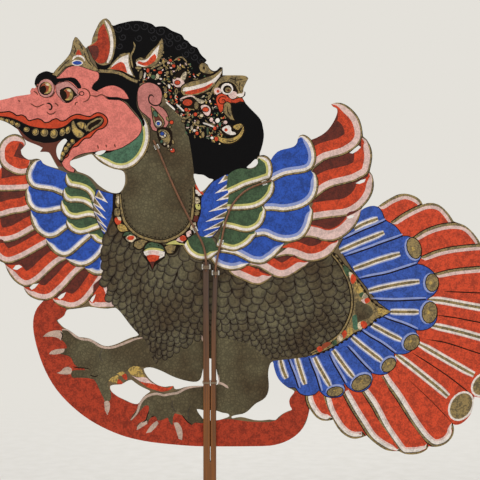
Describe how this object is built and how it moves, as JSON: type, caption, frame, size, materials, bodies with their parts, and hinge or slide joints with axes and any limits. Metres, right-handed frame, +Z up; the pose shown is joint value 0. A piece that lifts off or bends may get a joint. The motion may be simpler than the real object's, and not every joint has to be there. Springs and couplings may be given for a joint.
{
  "type": "shadow puppet",
  "caption": "Flat carved hide figure of a crowned bird with a fanned tail, held in a split rod and stiffened by thin lashed splints.",
  "frame": {"origin": "centre of the flat lower end of the rod", "axes": "+Z up along the rod, -Y out of the front face of the hide, the bird looks to -X"},
  "size_m": [0.7103, 0.0154, 0.8097],
  "materials": {
    "hide": "satin",
    "rod": "satin",
    "splint": "satin",
    "thread": "matte"
  },
  "bodies": {
    "root": {"hide_figure": "hide", "split_rod": "rod", "neck_splint_front": "splint", "neck_splint_back": "splint", "wing_splint_front": "splint", "wing_splint_back": "splint", "left_shoulder_binding": "thread", "right_shoulder_binding": "thread", "waist_binding": "thread", "necklace_tie": "thread", "neck_tip_tie": "thread", "wing_root_tie": "thread", "wing_tip_tie": "thread"}
  },
  "joints": []
}
